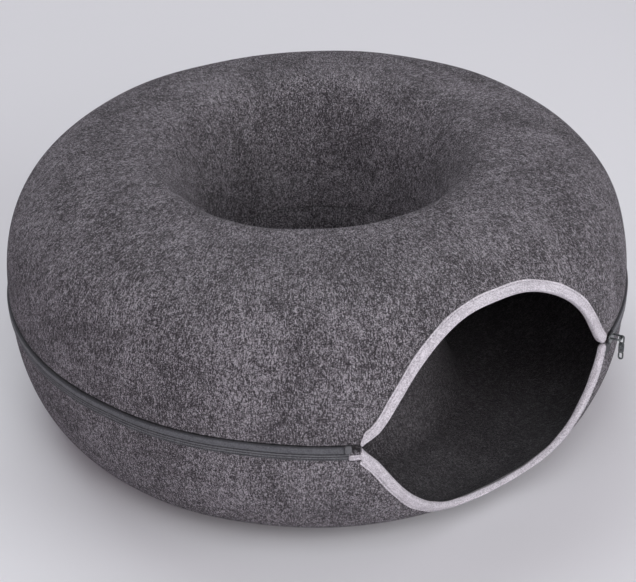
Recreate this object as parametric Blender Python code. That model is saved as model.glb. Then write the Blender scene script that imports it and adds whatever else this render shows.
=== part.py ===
"""Donut cat bed: a round felt tunnel that a cat enters through a mouth at the front.

Two moulded felt shells make a hollow ring. They meet at a zip round the outside and at
a seam round the waist of the well in the middle. The mouth is cut out of both shells at
the front, and each cut edge is bound with folded tape.

Metres, +Z up. The bed stands at height 0, and the middle of the mouth faces -Y. The
origin is at the middle of the bed's footprint, so the well's axis lies a little in front
of it. Angles round the ring start at -Y and grow towards +X.
"""

import bmesh
import bpy
import numpy as np

GAP = 0.0003  # between neighbouring pieces

# the mouth takes the front off the footprint, so the well's axis is in front of its middle
WELL_AXIS_Y = -0.0089

# the ring's cross-section: radius from the well's axis, height above the floor
OUTER_RADIUS = 0.250
ZIP_HEIGHT = 0.117
CREST = (0.136, 0.226)
WAIST = (0.094, 0.118)
BASE_OUTER = (0.156, 0.0)
BASE_INNER = (0.126, 0.0)
OUTER_FULLNESS = 2.7  # exponent of each rounded quarter: 2 is an ellipse, more is squarer
INNER_FULLNESS = 2.0
LOWER_FULLNESS = 2.5
FELT = 0.004

# the mouth, measured to the felt's cut edge: how far each arch reaches from the zip, how square it
# is, how far its peak leans to the right, and how much of its height it loses where it is drawn in
# near the left and right corners
MOUTH_HALF_ANGLE = np.radians(26.0)
UPPER_ARCH = {"reach": 0.0815, "fullness": 2.68, "lean": 0.0140, "draw_left": 0.46, "draw_right": 0.60}
LOWER_ARCH = {"reach": 0.0933, "fullness": 2.63, "lean": 0.0085, "draw_left": 0.14, "draw_right": -0.15}
DRAWN_SHARE = 0.168  # of the mouth's half-width, over which a corner is drawn in

# the zip: a chain as thick as CHAIN_DEPTH between the two felt edges
CHAIN_HEIGHT = 0.0054
CHAIN_DEPTH = 0.0026
CHAIN_PROUD = 0.0018  # past the felt's outer radius
TAPE = 0.001
TAPE_INSIDE = 0.009  # the upper tape's height behind the felt
TAPE_OUTSIDE = 0.0060  # the lower tape's height in front of the felt
END_BOX = (0.0060, 0.0070, 0.0030)  # along the zip, up, outwards
END_BOX_BACK = 0.0106  # from the mouth's corner
SLIDER = (0.0105, 0.0090, 0.0036)
SLIDER_BACK = 0.0079

# the slider's bridge and the pull that hangs from it
BRIDGE_LENGTH = 0.0072
BRIDGE_BAR = 0.0014
BRIDGE_STAND_OFF = 0.0039
BRIDGE_SHIFT = 0.0015  # along the slider, away from the mouth
PULL_SHIFT = 0.0012  # along the bridge's bar
PULL = (0.0044, 0.0014, 0.0220)  # outwards, along the zip, down
PULL_RIM = 0.00115
EYE_HEIGHT = 0.0062
SLOT_HEIGHT = 0.0048
SLOT_WIDTH = 0.0018

# the binding tape, folded over a felt edge
BINDING_LEG = 0.0076
BINDING_TAPE = 0.0008
BINDING_OUTER_GAP = 0.0006  # the binding's long facets dip towards the felt
BINDING_INNER_GAP = 0.0010  # behind the felt, whose facets bulge into the tunnel
BINDING_PAST_LEFT = 0.0035  # past the mouth's corner, along the zip
BINDING_PAST_RIGHT = 0.0050
TAIL_LENGTH = 0.0102
TAIL_LEG = 0.0057

MOUTH_COLUMNS = 18
RING_COLUMNS = 38
QUARTER_ROWS = 7

COLOURS = {
    "felt": ((0.105, 0.098, 0.105, 1.0), 0.95, 0.0),
    "binding": ((0.62, 0.59, 0.63, 1.0), 0.8, 0.0),
    "zip_tape": ((0.075, 0.080, 0.090, 1.0), 0.8, 0.0),
    "zip_chain": ((0.100, 0.108, 0.122, 1.0), 0.5, 0.0),
    "end_box": ((0.150, 0.155, 0.165, 1.0), 0.45, 0.0),
    "gunmetal": ((0.060, 0.068, 0.070, 1.0), 0.35, 0.9),
}


# ---------------------------------------------------------------- cross-section


def rounded_quarter(upright, level, fullness, steps=160):
    """A superellipse quarter from the point where the wall is upright to the one where it is level."""
    turn = np.linspace(0.0, np.pi / 2, steps)
    across = np.cos(turn).clip(0.0) ** (2.0 / fullness)
    along = np.sin(turn).clip(0.0) ** (2.0 / fullness)
    radius = level[0] + (upright[0] - level[0]) * across
    height = upright[1] + (level[1] - upright[1]) * along
    return np.stack([radius, height], axis=1)


class Section:
    """The outside of one shell in cross-section, from the zip to the waist, by length along it."""

    def __init__(self, pieces, outward):
        points = np.concatenate([pieces[0]] + [piece[1:] for piece in pieces[1:]])
        step = np.linalg.norm(np.diff(points, axis=0), axis=1)
        keep = np.r_[True, step > 1e-9]
        points = points[keep]
        step = np.linalg.norm(np.diff(points, axis=0), axis=1)
        self.length = np.r_[0.0, np.cumsum(step)]
        self.points = points
        tangent = np.gradient(points, self.length, axis=0)
        tangent /= np.linalg.norm(tangent, axis=1)[:, None]
        self.normal = outward * np.stack([tangent[:, 1], -tangent[:, 0]], axis=1)
        self.corners = [0.0]
        for piece in pieces:
            nearest = np.linalg.norm(points - piece[-1], axis=1).argmin()
            self.corners.append(self.length[nearest])

    def at(self, length):
        radius, height = (np.interp(length, self.length, column) for column in self.points.T)
        normal_r, normal_z = (np.interp(length, self.length, column) for column in self.normal.T)
        return radius, height, normal_r, normal_z

    def length_at_height(self, height):
        """The length at which the first quarter, next to the zip, reaches a height."""
        first = self.length <= self.corners[1]
        heights, lengths = self.points[first, 1], self.length[first]
        order = np.argsort(heights)
        return np.interp(height, heights[order], lengths[order])

    def skin(self, angle, length, lift=0.0):
        """Points of the surface, raised by lift along its outward normal."""
        radius, height, normal_r, normal_z = self.at(length)
        radius = radius + lift * normal_r
        height = height + lift * normal_z
        return np.stack([radius * np.sin(angle), -radius * np.cos(angle), height + 0.0 * angle], axis=-1)


ZIP_SIDE = (OUTER_RADIUS, ZIP_HEIGHT)
UPPER = Section(
    [
        rounded_quarter(ZIP_SIDE, CREST, OUTER_FULLNESS),
        rounded_quarter((WAIST[0], WAIST[1] + GAP / 2), CREST, INNER_FULLNESS)[::-1],
    ],
    outward=1.0,
)
LOWER = Section(
    [
        rounded_quarter(ZIP_SIDE, BASE_OUTER, LOWER_FULLNESS),
        np.array([BASE_OUTER, BASE_INNER]),
        rounded_quarter((WAIST[0], WAIST[1] - GAP / 2), BASE_INNER, INNER_FULLNESS)[::-1],
    ],
    outward=-1.0,
)


# ---------------------------------------------------------------- the mouth


def felt_edge_height(angle, side):
    """Height of a shell's felt edge: level along the zip, arched inside the mouth."""
    beside_zip = CHAIN_HEIGHT / 2 + GAP
    arch = UPPER_ARCH if side > 0 else LOWER_ARCH
    across = np.clip(angle / MOUTH_HALF_ANGLE, -1.0, 1.0)
    across = across - arch["lean"] / MOUTH_HALF_ANGLE * (1.0 - across**2)
    share = np.abs(across)
    draw = np.where(across < 0, arch["draw_left"], arch["draw_right"])
    kept = 1.0 - draw * np.exp(-(((1.0 - share) / DRAWN_SHARE) ** 2))
    rise = (arch["reach"] - beside_zip) * (1.0 - share ** arch["fullness"]) * kept
    return ZIP_HEIGHT + side * (beside_zip + rise)


def mouth_angles():
    """Angles across the mouth, closer together at its corners, where the edge is steep."""
    return MOUTH_HALF_ANGLE * np.sin(np.linspace(-np.pi / 2, np.pi / 2, MOUTH_COLUMNS + 1))


def column_angles(even=False):
    """Angles right round the ring, from one corner of the mouth to the last column before it."""
    across = np.linspace(-MOUTH_HALF_ANGLE, MOUTH_HALF_ANGLE, MOUTH_COLUMNS + 1) if even else mouth_angles()
    around = np.linspace(MOUTH_HALF_ANGLE, 2 * np.pi - MOUTH_HALF_ANGLE, RING_COLUMNS + 1)
    return np.concatenate([across, around[1:-1]])


# ---------------------------------------------------------------- meshes


def clear_scene():
    for old in list(bpy.data.objects):
        bpy.data.objects.remove(old, do_unlink=True)


def add_bed():
    """The empty on the well's axis that every piece is parented to."""
    bed = bpy.data.objects.new("bed", None)
    bed.location = (0.0, WELL_AXIS_Y, 0.0)
    bpy.context.scene.collection.objects.link(bed)


def material(name):
    made = bpy.data.materials.get(name)
    if made:
        return made
    colour, roughness, metallic = COLOURS[name]
    made = bpy.data.materials.new(name)
    made.use_nodes = True
    shader = made.node_tree.nodes["Principled BSDF"]
    shader.inputs["Base Color"].default_value = colour
    shader.inputs["Roughness"].default_value = roughness
    shader.inputs["Metallic"].default_value = metallic
    made.diffuse_color = colour
    return made


def add_object(name, vertices, faces, finish, smooth=True):
    """An object of closed mesh, with its faces turned outwards."""
    mesh = bpy.data.meshes.new(name)
    mesh.from_pydata([tuple(v) for v in vertices], [], [tuple(f) for f in faces])
    work = bmesh.new()
    work.from_mesh(mesh)
    bmesh.ops.triangulate(work, faces=work.faces, quad_method="SHORT_EDGE")
    bmesh.ops.recalc_face_normals(work, faces=work.faces)
    if work.calc_volume(signed=True) < 0:
        bmesh.ops.reverse_faces(work, faces=work.faces)
    work.to_mesh(mesh)
    work.free()
    if smooth:
        mesh.shade_smooth()
        mesh.set_sharp_from_angle(angle=np.radians(35))
    made = bpy.data.objects.new(name, mesh)
    made.parent = bpy.data.objects["bed"]
    bpy.context.scene.collection.objects.link(made)
    made.data.materials.append(material(finish))
    return made


def ring_of_quads(rows, columns, closed_rows, closed_columns):
    """Faces over a grid of vertices numbered row by row."""
    faces = []
    for i in range(rows if closed_rows else rows - 1):
        for j in range(columns if closed_columns else columns - 1):
            here, up = i * columns, (i + 1) % rows * columns
            right = (j + 1) % columns
            faces.append((here + j, here + right, up + right, up + j))
    return faces


def sweep(name, loops, finish, closed=False, smooth=True):
    """A solid through cross-section loops, each with the same number of points."""
    loops = np.asarray(loops)
    count, corners = loops.shape[:2]
    faces = ring_of_quads(count, corners, closed, True)
    if not closed:
        faces.append(tuple(range(corners)))
        faces.append(tuple((count - 1) * corners + k for k in reversed(range(corners))))
    return add_object(name, loops.reshape(-1, 3), faces, finish, smooth)


def felt_shell(name, section, side):
    """One shell: its outside from the felt edge to the waist, and back along its inside."""
    edge_angles, even_angles = column_angles(), column_angles(even=True)
    start = section.length_at_height(felt_edge_height(edge_angles, side))
    corners = section.corners[1:]
    shares = np.arange(QUARTER_ROWS) / QUARTER_ROWS
    angles = [edge_angles + (even_angles - edge_angles) * share**2 for share in shares]
    rows = [start + (corners[0] - start) * share for share in shares]
    for low, high in zip(corners, corners[1:]):
        flat = np.isclose(section.at(low)[1], section.at(high)[1], atol=1e-6)
        steps = 1 if flat else QUARTER_ROWS
        rows += [np.full_like(start, low + (high - low) * k / steps) for k in range(steps)]
    rows.append(np.full_like(start, corners[-1]))
    angles += [even_angles] * (len(rows) - len(angles))
    outside = [section.skin(angle, row) for angle, row in zip(angles, rows)]
    inside = [section.skin(angle, row, -FELT) for angle, row in zip(angles[::-1], rows[::-1])]
    # rows run across a section and columns run round the ring, and both close on themselves
    grid = np.stack(outside + inside, axis=1)
    return sweep(name, grid, "felt", closed=True)


def binding(name, section, side, tail=False):
    """Tape folded over the mouth's felt edge: a U whose legs lie on both faces of the felt."""
    angles = mouth_angles()
    left = angles[0] - BINDING_PAST_LEFT / OUTER_RADIUS
    right = angles[-1] + BINDING_PAST_RIGHT / OUTER_RADIUS
    angles = np.concatenate([[left], angles, [right]])
    legs = np.full_like(angles, BINDING_LEG)
    if tail:
        tail_end = -MOUTH_HALF_ANGLE - TAIL_LENGTH / OUTER_RADIUS
        angles = np.concatenate([[tail_end, (tail_end + left) / 2], angles])
        legs = np.concatenate([[TAIL_LEG, TAIL_LEG], legs])
    edge = section.length_at_height(felt_edge_height(angles, side))
    radius = section.at(edge)[0]
    # direction into the felt, at right angles to the edge, in lengths round and along the skin
    round_step, along_step = np.gradient(angles) * radius, np.gradient(edge)
    size = np.hypot(round_step, along_step)
    into_round, into_along = -along_step / size, round_step / size
    outer_low = BINDING_OUTER_GAP
    outer_high = outer_low + BINDING_TAPE
    inner_low = -FELT - BINDING_INNER_GAP
    inner_high = inner_low - BINDING_TAPE
    fold_low = -1.5 * GAP
    fold_high = fold_low - BINDING_TAPE
    # lift off the felt's outside, share of the leg and reach past the felt edge, round the U
    outline = [
        (outer_high, 1.0, 0.0),
        (outer_high, 0.5, 0.0),
        (outer_high, 0.0, fold_high),
        (inner_high, 0.0, fold_high),
        (inner_high, 0.5, 0.0),
        (inner_high, 1.0, 0.0),
        (inner_low, 1.0, 0.0),
        (inner_low, 0.5, 0.0),
        (inner_low, 0.0, fold_low),
        (outer_low, 0.0, fold_low),
        (outer_low, 0.5, 0.0),
        (outer_low, 1.0, 0.0),
    ]
    loops = []
    for lift, share, past_edge in outline:
        distance = share * legs + past_edge
        loops.append(
            section.skin(angles + distance * into_round / radius, edge + distance * into_along, lift)
        )
    return sweep(name, np.stack(loops, axis=1), "binding")


def zip_ring(name, outline, start, end, finish):
    """An outline of (radius, height) points carried round the outside between two angles."""
    columns = column_angles()
    between = columns[(columns > start) & (columns < end)]
    loops = [
        [(r * np.sin(a), -r * np.cos(a), z) for r, z in outline]
        for a in np.concatenate([[start], between, [end]])
    ]
    return sweep(name, loops, finish)


def place_on_ring(made, angle, radius, height):
    """Turn an object built with +X along the zip and -Y outwards to its place on the ring."""
    made.rotation_euler = (0.0, 0.0, angle)
    made.location = (radius * np.sin(angle), -radius * np.cos(angle), height)
    return made


def block(name, size, finish, bevel=0.0, middle=(0.0, 0.0, 0.0)):
    """A box of a size along X, Y and Z about a middle, with rounded edges."""
    low = np.array(middle) - np.array(size) / 2
    corners = [low + np.array(size) * (i, j, k) for i in (0, 1) for j in (0, 1) for k in (0, 1)]
    faces = [(0, 1, 3, 2), (4, 6, 7, 5), (0, 4, 5, 1), (2, 3, 7, 6), (0, 2, 6, 4), (1, 5, 7, 3)]
    made = add_object(name, corners, faces, finish, smooth=False)
    if bevel:
        rounding = made.modifiers.new("rounding", "BEVEL")
        rounding.width = bevel
        rounding.segments = 2
    return made


def helper(made):
    """A shape that only cuts or joins another one."""
    made.hide_render = True
    made.display_type = "WIRE"
    return made


def combine(made, other, operation):
    step = made.modifiers.new(other.name, "BOOLEAN")
    step.operation = operation
    step.object = helper(other)
    return made


# ---------------------------------------------------------------- the pieces


def build_zip():
    top, bottom = ZIP_HEIGHT + CHAIN_HEIGHT / 2, ZIP_HEIGHT - CHAIN_HEIGHT / 2
    chain_out = OUTER_RADIUS + CHAIN_PROUD
    chain_in = chain_out - CHAIN_DEPTH
    corner = MOUTH_HALF_ANGLE
    box_far = (END_BOX_BACK + END_BOX[0]) / OUTER_RADIUS
    slider_far = (SLIDER_BACK + SLIDER[0]) / OUTER_RADIUS
    end_gap = GAP / OUTER_RADIUS
    start, end = corner + slider_far + end_gap, 2 * np.pi - corner - box_far - end_gap

    chain = [(chain_in, bottom), (chain_out, bottom), (chain_out, top), (chain_in, top)]
    zip_ring("zip_coil", chain, start, end, "zip_chain")

    # the upper tape turns in under the felt edge and goes up behind it
    felt_back = OUTER_RADIUS - FELT - 3 * GAP
    leg_out, leg_in = chain_in - GAP, felt_back - TAPE
    leg_top, leg_bottom = ZIP_HEIGHT + TAPE / 2, ZIP_HEIGHT - TAPE / 2
    behind_top = ZIP_HEIGHT + TAPE_INSIDE
    upper = [
        (leg_in, leg_bottom),
        (leg_out, leg_bottom),
        (leg_out, leg_top),
        (felt_back, leg_top),
        (felt_back - GAP, behind_top),
        (leg_in - GAP, behind_top),
    ]
    zip_ring("zip_upper_tape", upper, start, end, "zip_tape")

    # the lower tape lies on the outside of the felt, from the chain down
    tape_top = bottom - GAP
    tape_in = OUTER_RADIUS + GAP
    lower = [
        (tape_in, tape_top - TAPE_OUTSIDE),
        (tape_in + TAPE, tape_top - TAPE_OUTSIDE),
        (tape_in + TAPE, tape_top),
        (tape_in, tape_top),
    ]
    tail_far = TAIL_LENGTH / OUTER_RADIUS + end_gap
    zip_ring("zip_lower_tape", lower, start, 2 * np.pi - corner - tail_far, "zip_tape")

    box = block("zip_end_box", (END_BOX[0], END_BOX[2], END_BOX[1]), "end_box", bevel=0.0006)
    box_angle = -corner - (END_BOX_BACK + END_BOX[0] / 2) / OUTER_RADIUS
    place_on_ring(box, box_angle, tape_in + END_BOX[2] / 2, bottom + END_BOX[1] / 2)
    build_slider(corner + (SLIDER_BACK + SLIDER[0] / 2) / OUTER_RADIUS)


def build_slider(angle):
    """The slider's body with its bridge, and the pull whose eye goes round the bridge's bar."""
    long, tall, deep = SLIDER
    front = -deep / 2
    body = block("zip_slider", (long, deep, tall), "gunmetal", bevel=0.0009)
    bar_back = front - BRIDGE_STAND_OFF
    bar_front = bar_back - BRIDGE_BAR
    sunk = 0.001  # of the bridge's feet into the body
    near, far = BRIDGE_SHIFT - BRIDGE_LENGTH / 2, BRIDGE_SHIFT + BRIDGE_LENGTH / 2
    outline = [
        (near, front + sunk),
        (near, bar_front),
        (far, bar_front),
        (far, front + sunk),
        (far - BRIDGE_BAR, front + sunk),
        (far - BRIDGE_BAR, bar_back),
        (near + BRIDGE_BAR, bar_back),
        (near + BRIDGE_BAR, front + sunk),
    ]
    loops = [[(x, y, z) for x, y in outline] for z in (-BRIDGE_BAR / 2, BRIDGE_BAR / 2)]
    bridge = sweep("slider_bridge", loops, "gunmetal", smooth=False)
    combine(body, bridge, "UNION")

    wide, thick, drop = PULL
    eye_wide = wide - 2 * PULL_RIM
    bar_middle = (bar_back + bar_front) / 2
    beside = BRIDGE_SHIFT + PULL_SHIFT
    eye_top = BRIDGE_BAR / 2 + GAP
    top = eye_top + PULL_RIM
    pull = block(
        "zip_pull", (thick, wide, drop), "gunmetal", bevel=0.0005, middle=(beside, bar_middle, top - drop / 2)
    )
    eye_middle = (beside, bar_middle, eye_top - EYE_HEIGHT / 2)
    eye = block("pull_eye", (4 * thick, eye_wide, EYE_HEIGHT), "gunmetal", middle=eye_middle)
    slot_middle = (beside, bar_middle, top - drop + PULL_RIM + SLOT_HEIGHT / 2)
    slot = block("pull_slot", (4 * thick, SLOT_WIDTH, SLOT_HEIGHT), "gunmetal", middle=slot_middle)
    combine(pull, eye, "DIFFERENCE")
    combine(pull, slot, "DIFFERENCE")
    for made in (body, bridge, pull, eye, slot):
        place_on_ring(made, angle, OUTER_RADIUS + GAP + deep / 2, ZIP_HEIGHT)


def main():
    clear_scene()
    add_bed()
    felt_shell("upper_shell", UPPER, 1.0)
    felt_shell("lower_shell", LOWER, -1.0)
    binding("upper_binding", UPPER, 1.0)
    binding("lower_binding", LOWER, -1.0, tail=True)
    build_zip()


main()
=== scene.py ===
import math

import bmesh
import bpy
import numpy as np
from mathutils import Matrix, Vector


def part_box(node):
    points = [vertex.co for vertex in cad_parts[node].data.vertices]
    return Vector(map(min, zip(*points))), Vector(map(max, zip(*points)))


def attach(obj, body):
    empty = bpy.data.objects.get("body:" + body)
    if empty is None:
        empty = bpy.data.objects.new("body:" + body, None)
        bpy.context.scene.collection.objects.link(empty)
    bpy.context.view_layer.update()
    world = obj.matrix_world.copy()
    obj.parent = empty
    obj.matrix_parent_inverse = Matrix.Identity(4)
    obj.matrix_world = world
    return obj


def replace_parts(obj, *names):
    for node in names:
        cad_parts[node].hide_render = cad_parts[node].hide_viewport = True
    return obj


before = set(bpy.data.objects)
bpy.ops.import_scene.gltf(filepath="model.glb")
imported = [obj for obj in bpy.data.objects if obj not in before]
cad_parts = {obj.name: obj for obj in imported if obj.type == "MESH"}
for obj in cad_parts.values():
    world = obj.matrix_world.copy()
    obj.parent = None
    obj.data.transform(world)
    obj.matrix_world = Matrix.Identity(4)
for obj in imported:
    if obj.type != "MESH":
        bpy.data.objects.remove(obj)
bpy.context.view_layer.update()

# ring, shared by every piece: sizes in metres, heights above the floor
ring = {
    "outerRadius": 0.250,
    "chainProud": 0.0018,
    "crestRadius": 0.136,
    "waist": (0.094, 0.118),
    "baseOuter": 0.156,
    "baseInner": 0.126,
    "outerFullness": 2.7,  # exponent of a rounded quarter: 2 is an ellipse, more is squarer
    "innerFullness": 2.0,
    "lowerFullness": 2.5,
    "felt": 0.004,
    "seamGap": 0.0002,
    "quarterSteps": 600,
    "sectionSteps": 3000,
}
coilLow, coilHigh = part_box("zip_coil")
zipHeight = (coilLow.z + coilHigh.z) / 2
axisY = coilHigh.y - ring["outerRadius"] - ring["chainProud"]
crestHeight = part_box("upper_shell")[1].z

# mouth, measured to the felt's cut edge: its corners as angles from the front, and each shell's arch with
# its reach from the zip, how square it is, how far its peak leans to the right, and the share of its height
# lost where it is drawn in near a corner
mouth = {
    "left": math.radians(-26.75),  # the left corner is drawn out past its bend
    "leftBend": math.radians(-24.0),
    "right": math.radians(26.0),
    "besideZip": 0.003,
    "drawnShare": 0.168,
    "columns": 150,
    "upper": {"reach": 0.0815, "fullness": 2.68, "lean": 0.0140, "drawLeft": 0.51, "drawRight": 0.60},
    "lower": {"reach": 0.0933, "fullness": 2.63, "lean": 0.0085, "drawLeft": 0.17, "drawRight": -0.15},
}


# sections and skins


def roundedQuarter(upright, level, fullness):
    # superellipse quarter: cos and sin to the power 2 / fullness, from the upright wall to the level one
    turn = np.linspace(0.0, np.pi / 2, ring["quarterSteps"])
    across = np.cos(turn).clip(0.0) ** (2.0 / fullness)
    along = np.sin(turn).clip(0.0) ** (2.0 / fullness)
    radius = level[0] + (upright[0] - level[0]) * across
    height = upright[1] + (level[1] - upright[1]) * along
    return np.stack([radius, height], axis=1)


def makeSection(quarters, side):
    # one shell's outside in cross-section by its length from the zip, with the normal a quarter turn from
    # the tangent
    points = np.concatenate([quarters[0]] + [quarter[1:] for quarter in quarters[1:]])
    step = np.linalg.norm(np.diff(points, axis=0), axis=1)
    points = points[np.r_[True, step > 1e-7]]
    length = np.r_[0.0, np.cumsum(np.linalg.norm(np.diff(points, axis=0), axis=1))]
    even = np.linspace(0.0, length[-1], ring["sectionSteps"])
    points = np.stack([np.interp(even, length, column) for column in points.T], axis=1)
    tangent = np.gradient(points, even, axis=0)
    tangent /= np.linalg.norm(tangent, axis=1)[:, None]
    normal = side * np.stack([tangent[:, 1], -tangent[:, 0]], axis=1)
    return {"length": even, "points": points, "normal": normal, "total": even[-1], "side": side}


zipSide = (ring["outerRadius"], zipHeight)
crest = (ring["crestRadius"], crestHeight)
waistRadius, waistHeight = ring["waist"]
upperWaist = (waistRadius, waistHeight + ring["seamGap"] / 2)
lowerWaist = (waistRadius, waistHeight - ring["seamGap"] / 2)
baseOuter, baseInner = (ring["baseOuter"], 0.0), (ring["baseInner"], 0.0)
upperSection = makeSection(
    [
        roundedQuarter(zipSide, crest, ring["outerFullness"]),
        roundedQuarter(upperWaist, crest, ring["innerFullness"])[::-1],
    ],
    1.0,
)
lowerSection = makeSection(
    [
        roundedQuarter(zipSide, baseOuter, ring["lowerFullness"]),
        np.array([baseOuter, baseInner]),
        roundedQuarter(lowerWaist, baseInner, ring["innerFullness"])[::-1],
    ],
    -1.0,
)

uneven = {
    "depth": 0.0007,  # about how far the pressed felt strays from its true shape
    "clearHeight": 0.03,
    # share, waves round the ring, start, and slant with the height
    "waves": ((1.0, 3, 0.4, 9), (0.8, 5, 2.1, -23), (0.6, 8, 4.0, 41), (0.5, 13, 1.0, 67)),
}
sag = {"drop": 0.0018, "leftReach": math.radians(12), "rightReach": math.radians(5), "heightReach": 0.035}


def lumps(angle, height):
    # slow unevenness: a few sines of the angle and the height, none near the floor
    wave = sum(
        share * np.sin(turns * angle + start + slant * height)
        for share, turns, start, slant in uneven["waves"]
    )
    clear = np.clip(height / uneven["clearHeight"], 0.0, 1.0)
    return uneven["depth"] * wave / 2.0 * clear * clear * (3 - 2 * clear)


def ripples(run, table):
    # a sum of sines along a run, each with its share, rate and start
    return sum(share * np.sin(rate * run + start) for share, rate, start in table)


def settled(angle, height):
    # the zip's line hangs a little low at its left end: a flat-topped bell of the angle to its left and a
    # round one to its right, times a bell of the height
    away = (angle - mouth["left"] + np.pi) % (2 * np.pi) - np.pi
    toLeft = np.exp(-((away / sag["leftReach"]) ** 4))
    toRight = np.exp(-((away / sag["rightReach"]) ** 2))
    bell = np.where(away < 0, toLeft, toRight)
    return height - sag["drop"] * bell * np.exp(-(((height - zipHeight) / sag["heightReach"]) ** 2))


def onRing(radius, angle, height):
    # the point at a radius from the well's axis, an angle from the front round to the right, and a height
    places = np.broadcast_arrays(radius * np.sin(angle), axisY - radius * np.cos(angle), height)
    return np.stack(places, axis=-1)


def alongRing(angle):
    # the level way round the ring at an angle, from the front to the right
    return np.stack([np.cos(angle), np.sin(angle), 0.0 * angle], axis=-1)


def outOfRing(angle):
    # the level way away from the well's axis, a quarter turn from the way round
    return np.stack([np.sin(angle), -np.cos(angle), 0.0 * angle], axis=-1)


def skin(section, angle, length, lift=0.0):
    # the section's point at that length, turned to the angle and raised by lift along its normal
    radius, height = (np.interp(length, section["length"], column) for column in section["points"].T)
    normalR, normalZ = (np.interp(length, section["length"], column) for column in section["normal"].T)
    lift = lift + lumps(angle, height)
    return onRing(radius + lift * normalR, angle, settled(angle, height + lift * normalZ))


def edgeHeight(section, angle):
    # height of the cut edge: reach times 1 - share ** fullness, drawn in near the corners by a bell curve
    arch = mouth["upper"] if section["side"] > 0 else mouth["lower"]
    places = (mouth["left"], mouth["leftBend"], mouth["right"])
    across = np.interp(angle, places, (-1.0, mouth["leftBend"] / mouth["right"], 1.0))
    across = across - arch["lean"] / mouth["right"] * (1.0 - across**2)
    share = np.abs(across)
    draw = np.where(across < 0, arch["drawLeft"], arch["drawRight"])
    kept = 1.0 - draw * np.exp(-(((1.0 - share) / mouth["drawnShare"]) ** 2))
    rise = (arch["reach"] - mouth["besideZip"]) * (1.0 - share ** arch["fullness"]) * kept
    return zipHeight + section["side"] * (mouth["besideZip"] + rise)


def lengthAt(section, height):
    # length along the section at which its outer wall passes that height
    outside = section["length"] < 0.5 * section["total"]
    heights, lengths = section["points"][outside, 1], section["length"][outside]
    order = np.argsort(heights)
    return np.interp(height, heights[order], lengths[order])


def mouthAngles(count, even=False):
    # angles from the left corner to the right one: even steps, or a sine's, which crowd at the corners
    spread = np.linspace(-1.0, 1.0, count + 1)
    spread = spread if even else np.sin(spread * np.pi / 2)
    return np.where(spread < 0, -spread * mouth["left"], spread * mouth["right"])


# meshes


def gridFaces(rows, columns, closedRows, closedColumns):
    # four corners of each cell of a grid whose points are numbered row by row
    i = np.arange(rows if closedRows else rows - 1)[:, None]
    j = np.arange(columns if closedColumns else columns - 1)[None, :]
    up, right = (i + 1) % rows, (j + 1) % columns
    cells = [i * columns + j, i * columns + right, up * columns + right, up * columns + j]
    return np.stack(np.broadcast_arrays(*cells), axis=-1).reshape(-1, 4)


def makePiece(name, points, faces, finish, marks=None, sharp=40.0):
    # a mesh from arrays of points and faces, turned outwards, riding on the frame; edges that bend by more
    # degrees than sharp stay crisp
    points = np.asarray(points, float).reshape(-1, 3)
    mesh = bpy.data.meshes.new(name)
    mesh.from_pydata(points.tolist(), [], [list(face) for face in faces])
    for markName, values in (marks or {}).items():
        mark = mesh.attributes.new(markName, "FLOAT_VECTOR", "POINT")
        mark.data.foreach_set("vector", np.asarray(values, np.float32).reshape(-1))
    work = bmesh.new()
    work.from_mesh(mesh)
    bmesh.ops.recalc_face_normals(work, faces=work.faces)
    if work.calc_volume(signed=True) < 0:
        bmesh.ops.reverse_faces(work, faces=work.faces)
    work.to_mesh(mesh)
    work.free()
    mesh.shade_smooth()
    mesh.set_sharp_from_angle(angle=math.radians(sharp))
    made = bpy.data.objects.new(name, mesh)
    bpy.context.scene.collection.objects.link(made)
    made.data.materials.append(finish)
    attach(made, "root")
    return made


def sweepPart(loops, closed=False, marks=None):
    # points and faces of a closed solid through loops, its ends capped unless it closes on itself
    count, around = loops.shape[:2]
    faces = gridFaces(count, around, closed, True).tolist()
    if not closed:
        faces.append(list(range(around)))
        faces.append([(count - 1) * around + k for k in range(around)])
    marks = np.zeros((count * around, 3)) if marks is None else marks.reshape(-1, 3)
    return loops.reshape(-1, 3), faces, marks


def joinParts(parts):
    # several solids as one mesh: the later ones' faces are numbered on from the earlier ones' points
    points, faces, marks, first = [], [], [], 0
    for partPoints, partFaces, partMarks in parts:
        points.append(partPoints)
        marks.append(partMarks)
        faces.extend([[first + k for k in face] for face in partFaces])
        first += len(partPoints)
    return np.concatenate(points), faces, np.concatenate(marks)


def makeFromParts(name, parts, finish, sharp=40.0):
    # one piece of several solids, with the lengths along and across them marked for the weave
    points, faces, marks = joinParts(parts)
    return makePiece(name, points, faces, finish, {"cloth": marks}, sharp)


def stripOutline(first, last, thickness, radius, faceRows, backRows, cornerRows):
    # a strip's closed outline as lengths and lifts: along its face, round the far edge, back, and round the
    # near edge, each corner a quarter circle
    turn = np.linspace(0.0, np.pi / 2, cornerRows + 1)
    sine, cosine = radius * np.sin(turn), radius * np.cos(turn)
    inside = radius - thickness
    # share of the way from the near edge to the far one, how far past it, and lift
    stretches = (
        (np.linspace(0.0, 1.0, faceRows), 0.0, 0.0),
        (1.0, sine[1:], cosine[1:] - radius),
        (1.0, cosine, inside - sine),
        (np.linspace(1.0, 0.0, backRows)[1:], 0.0, -thickness),
        (0.0, -sine[1:], inside - cosine[1:]),
        (0.0, -cosine[:-1], sine[:-1] - radius),
    )
    rows = [np.stack(np.broadcast_arrays(*stretch)) for stretch in stretches]
    share, past, lift = np.concatenate(rows, axis=1)[:, :, None]
    near, far = first + radius, last - radius
    along = near + (far - near) * share + past
    return along, lift + 0.0 * along


# node helpers


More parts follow.
